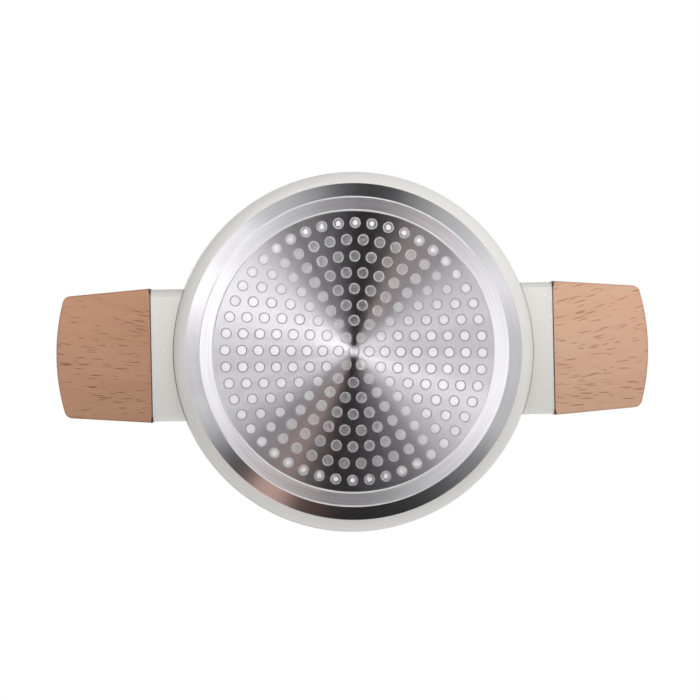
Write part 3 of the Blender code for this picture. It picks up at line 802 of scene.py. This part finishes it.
# width of the strip of painted shade along the front edge, width of the painted shadow at the joint, its tone
GUARD_PAINTED_SHADES = {"left": (0.0041, 0.0011, 0.35), "right": (0.0027, 0.0021, 0.6)}
for side, sign in SIDES:
    finish = guard_coating_with_painted_shade(f"{side}_guard_coating", *GUARD_PAINTED_SHADES[side])
    guard = piece_of(f"{side}_coated_flame_guard", guard_points(sign), (finish,))
    tools = []
    for offset in (-SCREW_OFFSET, SCREW_OFFSET):
        spot = along_screw(sign, offset)
        tools.append(drill(guard, SCREW_BORE, GUARD_END - 2 * CUT_PAST, GUARD_END + 2 * CUT_PAST, spot))
    settle(guard, *tools)
    dress(guard, f"{side}_flame_guard")


# BEECH GRIPS
# Two oiled blocks of steamed beech, sawn with the grain along the handle, tapered, bowed at the end and
# rounded over. Each has a socket for its guard's spigot and two counterbored holes from its outer end.

GRIP_GAP = 0.0003
GRIP_LENGTH = 0.0533
GRIP_START = GUARD_END + GRIP_GAP
GRIP_END = GRIP_START + GRIP_LENGTH
GRIP_HALF_WIDTH = 0.0380
GRIP_HALF_HEIGHT = 0.0095
GRIP_TAPER = 0.0037
GRIP_BOW = 0.005
GRIP_CORNER = 0.0046
GRIP_ROUND = 0.0018
GRIP_CROWN = 0.0005
# cells to a metre of grain, size within a cell, seed
WOOD_RAYS = ((88, 0.34, 0.0), (130, 0.28, 0.4))
SOCKET_INSET = 0.0022
SCREW_HEAD_TOP = GRIP_END - 0.0030
COUNTERBORE = 0.0053
COUNTERBORE_DEPTH = 0.0042
# how far the bow falls back, in metres for a metre squared across
BOW_FALL = 4.2
# pale, warm, outer and ray tone, slope of the grain. The left grip's tones are darker than the right's as
# painted shade, for less light on the left.
WOODS = {
    "left": ((0.53, 0.295, 0.187), (0.485, 0.258, 0.156), (0.52, 0.28, 0.173), (0.21, 0.09, 0.05), -0.2),
    "right": ((0.71, 0.45, 0.31), (0.67, 0.40, 0.265), (0.74, 0.43, 0.30), (0.34, 0.16, 0.10), 0.28),
}


def grip_plan():
    """Half plan from the root corner along the tapering side, round the fillet and along the bow to the tip.
    The bow's circle passes through the tip, and the fillet touches both it and the side."""
    end_half = GRIP_HALF_WIDTH - GRIP_TAPER
    bow_radius = (end_half**2 + GRIP_BOW**2) / (2 * GRIP_BOW)
    bow_centre = np.array((GRIP_END - bow_radius, 0))
    root = np.array((GRIP_START, GRIP_HALF_WIDTH))
    along = np.array((GRIP_END - GRIP_BOW, end_half)) - root
    along /= np.linalg.norm(along)
    inward = np.array((along[1], -along[0]))
    offset = root + inward * GRIP_CORNER - bow_centre
    slope = offset @ along
    reach = sqrt((bow_radius - GRIP_CORNER) ** 2 - offset @ offset + slope**2)
    corner = bow_centre + offset + along * (reach - slope)
    side_angle = atan2(-inward[1], -inward[0])
    bow_angle = atan2(corner[1], corner[0] - bow_centre[0])
    fillet = arc(corner, GRIP_CORNER, side_angle, bow_angle, 11)
    side = root + (fillet[0] - root) * np.linspace(0, 1, 9)[:-1, None]
    bow = arc(bow_centre, bow_radius, bow_angle, 0, 13)[1:]
    return np.vstack((side, fillet, bow))


def grip_points(sign):
    """The plan as a closed loop, at the lower and upper face, with rows of it drawn in towards the middle
    line so that both faces can be crowned across."""
    half = grip_plan()
    loop = np.vstack((half, (half[:-1] * (1, -1))[::-1]))
    shares = (0.0, 0.25, 0.5, 0.75, 0.9, 1.0)
    rows = []
    for face, inwards in ((-1, shares), (1, shares[::-1])):
        for share in inwards:
            y = loop[:, 1] * share
            height = GRIP_HALF_HEIGHT - GRIP_CROWN * (y / GRIP_HALF_WIDTH) ** 2
            rows.append(np.column_stack((sign * loop[:, 0], sign * y, HANDLE_HEIGHT + face * height)))
    return np.stack(rows)


def socket_points(sign):
    """The room for the guard's spigot: a section at two depths, and the middle of each."""
    inset = SOCKET_INSET
    loop = section(GUARD_HALF_WIDTH - inset, GUARD_HALF_HEIGHT - inset, GUARD_CORNER - inset)
    start, bottom = GRIP_START - CUT_PAST, GRIP_START + SPIGOT_LENGTH
    rows = []
    for x, share in ((start, 0), (start, 1), (bottom, 1), (bottom, 0)):
        across, height = loop.T * share
        rows.append(np.column_stack((np.full(len(loop), sign * x), sign * across, HANDLE_HEIGHT + height)))
    return np.stack(rows)


def beech(name, pale, warm, outer, fleck, slope, end):
    """Oiled beech, grain along X, leaning by a slope at the front edge that fades out to the rear. Slow bands
    go from pale to warm, and to the outer tone along the handle; fine fibres run along them. The rays are
    short dark lens shapes, one to a long flat cell and only in some cells. The inner end is darkened, partly
    as darker sawn end grain and partly as painted shadow in the gap at the guard, widest at the corners. The
    rounded-over sides and bow are darkened towards the ray tone as painted shade."""
    tree, shader, look = new_look(name, 0, 0.5)
    place = here(tree)
    parts = parts_of(tree, place)
    along = maths(tree, "SUBTRACT", parts[0], end * (GRIP_START + GRIP_END) / 2)
    lean = between(tree, parts[1], -0.038, 0.034, slope, 0)
    sway = noise(tree, vectors(tree, "MULTIPLY", place, (22, 34, 34)), 1, 1)
    lift = maths(tree, "ADD", product(tree, along, lean), product(tree, sway, 0.004))
    grain = vectors(tree, "ADD", place, node(tree, "CombineXYZ", {1: lift}).outputs[0])
    bands = noise(tree, vectors(tree, "MULTIPLY", grain, (14, 130, 130)), 1, 3)
    colour = tint(tree, between(tree, bands, 0.3, 0.7), pale, warm)
    far = between(tree, product(tree, along, end), -0.02, 0.026, 0, 0.75)
    patch = product(tree, far, between(tree, noise(tree, grain, 55, 1), 0.35, 0.65, 0.5, 1))
    colour = tint(tree, patch, colour, outer)
    fibres = noise(tree, vectors(tree, "MULTIPLY", grain, (60, 2000, 2000)), 1)
    colour = tint(tree, between(tree, fibres, 0.35, 0.75, 0, 0.25), colour, [0.80 * c for c in pale])
    slip = noise_along(tree, parts_of(tree, grain)[1], 330, 0)
    shift = node(tree, "CombineXYZ", {0: product(tree, slip, 0.03)}).outputs[0]
    slipped = vectors(tree, "ADD", grain, shift)
    rays = 0.0
    for count, size, seed in WOOD_RAYS:
        stretched = vectors(tree, "MULTIPLY_ADD", slipped, (count, 1000, 1000), (seed, seed, seed))
        cells = node(tree, "TexVoronoi", {"Vector": stretched, "Scale": 1.0, "Randomness": 0.9})
        chance = node(tree, "SeparateColor", {"Color": cells.outputs["Color"]}).outputs
        reach = between(tree, chance[1], 0, 1, size * 0.75, size * 1.25)
        lens_shape = maths(tree, "SUBTRACT", 1, maths(tree, "DIVIDE", cells.outputs["Distance"], reach))
        strength = between(tree, chance[2], 0, 1, 0.4, 1)
        picked = product(tree, between(tree, chance[0], 0.52, 0.58), strength)
        ray = product(tree, between(tree, lens_shape, 0.0, 0.4), picked)
        rays = maths(tree, "MAXIMUM", ray, rays)
    colour = tint(tree, product(tree, rays, 0.9), colour, fleck)
    out = maths(tree, "SUBTRACT", product(tree, parts[0], end), GRIP_START)
    beside = maths(tree, "ABSOLUTE", parts[1])
    # Painted shadow in the gap at the guard, over darker sawn end grain: the inner end darkens within about
    # 0.3 mm, 0.9 mm at the corners.
    end_grain_and_gap_shadow = maths(tree, "SUBTRACT", between(tree, beside, 0.034, 0.037, 0.0003, 0.0009), out)
    colour = tint(tree, between(tree, end_grain_and_gap_shadow, 0, 0.0004, 0, 0.9), colour, [0.12 * c for c in fleck])
    # Painted shade: within 1.4 mm of the tapered sides and the bow the colour darkens towards the ray tone,
    # as the rounded-over edges turn from the light.
    side = maths(tree, "MULTIPLY_ADD", out, -GRIP_TAPER / (GRIP_END - GRIP_BOW - GRIP_START), GRIP_HALF_WIDTH)
    square = product(tree, beside, beside)
    bow = maths(tree, "MULTIPLY_ADD", square, -BOW_FALL, GRIP_END - GRIP_START)
    edge_shade = maths(tree, "MINIMUM", maths(tree, "SUBTRACT", side, beside), maths(tree, "SUBTRACT", bow, out))
    colour = tint(tree, between(tree, edge_shade, 0, 0.0014, 0.35, 0), colour, fleck)
    height = maths(tree, "SUBTRACT", product(tree, fibres, 0.3), rays)
    feed(shader, colour, between(tree, fibres, 0.3, 0.7, 0.46, 0.58), height, 0.2, 0.00012)
    return look


for side, sign in SIDES:
    wood = beech(f"{side}_beech", *WOODS[side], sign)
    grip = piece_of(f"{side}_beech_grip", grip_points(sign), (wood,))
    rounding = grip.modifiers.new("rounded over", "BEVEL")
    rounding.width = GRIP_ROUND
    rounding.segments = 5
    rounding.limit_method = "ANGLE"
    rounding.angle_limit = radians(40)
    settle(grip)
    tools = [cut(grip, socket_points(sign))]
    past = GRIP_END + CUT_PAST
    for offset in (-SCREW_OFFSET, SCREW_OFFSET):
        spot = along_screw(sign, offset)
        tools.append(drill(grip, SCREW_BORE, GRIP_START - CUT_PAST, past, spot))
        tools.append(drill(grip, COUNTERBORE, SCREW_HEAD_TOP - COUNTERBORE_DEPTH, past, spot))
    settle(grip, *tools)
    dress(grip, f"{side}_grip")


# SCREWS AND WASHERS
# Two long black-plated socket screws on each side pull the grip against the guard and the guard against the
# bracket. Their heads sit on washers at the bottom of the counterbores.

SCREW_STEPS = 48
SCREW_HEAD = 0.00425
SCREW_HEAD_ROUND = 0.0006
SCREW_HEAD_BASE = -0.0028
SCREW_SHANK = 0.0024
SCREW_POINT = 0.0008
SCREW_TIP = WALL_AT_HANDLE + 0.0015 - SCREW_HEAD_TOP
HEX_FLAT = 0.00156
HEX_DEPTH = 0.0016
HEX_LEAD = 0.0001
HEX_RIM = 0.0022
WASHER_OUTLINE = np.array((
    (SCREW_BORE, -0.0031), (0.0049, -0.0031), (0.0050, -0.0032), (0.0050, -0.0039), (SCREW_BORE, -0.0039),
))


def black_zinc(name):
    """Black zinc plating: a dark cool grey with faint clouds, worn a little paler here and there."""
    tree, shader, look = new_look(name, 1, 0.3)
    place = here(tree)
    clouds = noise(tree, place, 500, 3)
    colour = tint(tree, clouds, (0.12, 0.12, 0.125), (0.20, 0.20, 0.20))
    feed(shader, colour, between(tree, clouds, 0.3, 0.7, 0.24, 0.38))
    return look


def screw_grid():
    """Outline from the bottom of the socket out over the head and down the shank to the tip, turned round.
    The socket's rows are stretched by one over the cosine of the angle from the nearest flat, which makes
    them six-sided."""
    lead = (HEX_FLAT, -HEX_LEAD), (HEX_FLAT + HEX_LEAD, 0)
    outline = joined(
        ((0, -HEX_DEPTH), (HEX_FLAT, -HEX_DEPTH), *lead, (HEX_RIM, 0)),
        arc((SCREW_HEAD - SCREW_HEAD_ROUND, -SCREW_HEAD_ROUND), SCREW_HEAD_ROUND, pi / 2, 0, 5),
        ((SCREW_HEAD, SCREW_HEAD_BASE),),
        ((SCREW_SHANK, SCREW_HEAD_BASE),),
        ((SCREW_SHANK, SCREW_TIP + SCREW_POINT), (SCREW_SHANK - SCREW_POINT, SCREW_TIP), (0, SCREW_TIP)),
    )
    turn = np.arange(SCREW_STEPS) * 2 * np.pi / SCREW_STEPS
    stretch = np.ones((len(outline), SCREW_STEPS))
    stretch[:4] = 1 / np.cos((turn + np.pi / 6) % (np.pi / 3) - np.pi / 6)
    return turned_points(outline, SCREW_STEPS, stretch)


zinc = black_zinc("black_zinc")
screw_points = screw_grid()
for side, sign in SIDES:
    for row, rear in ROWS:
        spot = along_screw(sign, rear * SCREW_OFFSET, SCREW_HEAD_TOP)
        screw = piece_of(f"{side}_{row}_socket_screw", placed(screw_points, spot), (zinc,))
        dress(screw, f"{side}_{row}_screw")
        washer = turned_piece(f"{side}_{row}_flat_washer", WASHER_OUTLINE, spot, zinc, closed=True)
        dress(washer, f"{side}_{row}_washer")


# TABLE
# A pale matt table top under the pot. It is finished on its upper side only, and lets the studio's light
# through, so that the camera under it sees the foot of the pot.

TABLE_HALF = 3
TABLE_TOP = -0.0002

corners = np.array(((-1, -1, 0), (1, -1, 0), (1, 1, 0), (-1, 1, 0))) * TABLE_HALF + (0, 0, TABLE_TOP)
tree, shader, table_look = new_look("pale_table", 0, 0.9)
mottle = noise(tree, here(tree), 12, 3)
feed(shader, tint(tree, mottle, (0.86, 0.86, 0.86), (0.88, 0.88, 0.88)))
over(table_look, node(tree, "NewGeometry").outputs["Backfacing"], node(tree, "BsdfTransparent"))
table = piece_of("pale_table", corners, (table_look,), np.array(((0, 1, 2, 3),)))
if table.data.polygons[0].normal.z < 0:
    table.data.flip_normals()
table.visible_diffuse = table.visible_glossy = table.visible_transmission = table.visible_shadow = False


# STUDIO
# Plain white behind the pot, a pale sky over it, and a dim room under it with soft boxes round the camera,
# which the turned metal shows as two bright fans with dark ones between. Matt surfaces see an even dome and
# a weak strip lamp.

# round the axis from the right, half width, soft edge, off the axis, half height, in degrees, then light
SOFT_BOXES = (
    (148, 10.1, 21.2, 34.7, 8.7, (6.65,) * 3),
    (184.5, 28.1, 9.1, 49.9, 1.8, (2.41,) * 3),
    (189.3, 11.8, 12.7, 34.8, 7.6, (2.85,) * 3),
    (29.5, 26.2, 21.4, 62.6, 1.5, (5.96,) * 3),
    (27.3, 4.9, 19, 37, 3.3, (3.85,) * 3),
    (340.5, 9.3, 11.9, 44.5, 1.9, (3.75,) * 3),
    (114.5, 1.1, 27.9, 71.3, 1, (8.27,) * 3),
    (238.5, 2.8, 8.7, 77.3, 14.1, (3.65, 2.38, 1.95)),
    (255, 2, 8, 79.8, 12, (0.45, 0.24, 0.18)),
)
BOX_EDGE = 8
ROOM_LIGHT = 0.015
SKY_LIGHT = 0.70
SKY_SWING = 0.52
SKY_SIDE = 54
HORIZON = 0.105
# a dark screen in the sky on the left and the rising heights where it ends
SCREEN = (175, 35.1, 35.9)
SCREEN_TOP = (0.105, 0.423)
DOME_LIGHT = 0.815
DOME_SWING = (0.02, 0.17, 0.33)
DOME_DIP = (150, 6, 30)
STRIP_POWER = 0.35
STRIP_SIZE = (1.0, 0.03)
STRIP_PLACE = (0.04, -0.085, -0.6)
STRIP_SLOPE = 0.3


def facing(tree, flat, turn, half, soft):
    """1 within half of an angle round the axis from the right, and 0 past the soft edge, all in degrees."""
    turn = radians(turn)
    cosine = vectors(tree, "DOT_PRODUCT", flat, (cos(turn), -sin(turn), 0))
    return between(tree, maths(tree, "ARCCOSINE", cosine), *np.radians((half, half + soft)), 1, 0)


def lessened(tree, value, share):
    """A value less its share."""
    return product(tree, value, maths(tree, "SUBTRACT", 1, share))


scene = bpy.context.scene
world = bpy.data.worlds.new("studio")
world.use_nodes = True
world.cycles.sampling_method = "NONE"
scene.world = world
tree = world.node_tree
way = vectors(tree, "NORMALIZE", node(tree, "TexCoord").outputs["Generated"])
flat_way = vectors(tree, "NORMALIZE", flat_part(tree, way))
up_way = parts_of(tree, way)[2]
off_axis = maths(tree, "ARCCOSINE", product(tree, up_way, -1))
light = (ROOM_LIGHT,) * 3
for turn, half, soft, off, tall, colour in SOFT_BOXES:
    past = maths(tree, "ABSOLUTE", maths(tree, "SUBTRACT", off_axis, radians(off)))
    within = between(tree, past, *np.radians((tall, tall + BOX_EDGE)), 1, 0)
    share = product(tree, facing(tree, flat_way, turn, half, soft), within)
    light = tint(tree, share, light, colour, "ADD")
side = radians(SKY_SIDE)
swing = (SKY_SWING * cos(side), -SKY_SWING * sin(side), 0)
sky = maths(tree, "ADD", vectors(tree, "DOT_PRODUCT", way, swing), SKY_LIGHT)
under = between(tree, up_way, *SCREEN_TOP, 1, 0)
sky = lessened(tree, sky, product(tree, facing(tree, flat_way, *SCREEN), under))
light = tint(tree, between(tree, up_way, -HORIZON, HORIZON), light, sky)
dome = maths(tree, "ADD", vectors(tree, "DOT_PRODUCT", way, DOME_SWING), DOME_LIGHT)
level = between(tree, vectors(tree, "LENGTH", flat_part(tree, way)), 0.3, 0.7)
dome = lessened(tree, dome, product(tree, facing(tree, flat_way, *DOME_DIP), level))
rays = node(tree, "LightPath").outputs
light = tint(tree, rays["Is Diffuse Ray"], light, gray(tree, dome))
plain = maths(tree, "MAXIMUM", rays["Is Camera Ray"], rays["Is Transmission Ray"])
light = tint(tree, plain, light, (1, 1, 1))
tree.links.new(light, tree.nodes["Background"].inputs[0])

strip = bpy.data.lights.new("strip", "AREA")
strip.shape = "RECTANGLE"
strip.size, strip.size_y = STRIP_SIZE
strip.spread = 2 * atan(STRIP_SLOPE)
strip.energy = STRIP_POWER
strip_light = bpy.data.objects.new("strip", strip)
strip_light.visible_glossy = strip_light.visible_camera = False
strip_light.matrix_world = Matrix.Translation(STRIP_PLACE) @ Matrix.Rotation(pi, 4, "X")
scene.collection.objects.link(strip_light)

scene.view_settings.view_transform = "Standard"


# CAMERA
# Straight under the pot, as the photograph was taken, a little towards the left handle and turned by a
# degree, with a long lens.

CAMERA_PLACE = Vector((-0.0129, 0.0041, -1.0978))
CAMERA_AIM = Vector((-0.00206, -0.00078, 0))
CAMERA_ROLL = radians(1.13)
FOCAL_LENGTH = 104.97
SENSOR_WIDTH = 36

lens = bpy.data.cameras.new("camera")
lens.sensor_width = SENSOR_WIDTH
lens.lens = FOCAL_LENGTH
camera = bpy.data.objects.new("camera", lens)
scene.collection.objects.link(camera)
back = (CAMERA_PLACE - CAMERA_AIM).normalized()
up = Vector((sin(CAMERA_ROLL), -cos(CAMERA_ROLL), 0))
right = up.cross(back).normalized()
up = back.cross(right)
camera.matrix_world = Matrix.Translation(CAMERA_PLACE) @ Matrix((right, up, back)).transposed().to_4x4()
scene.camera = camera
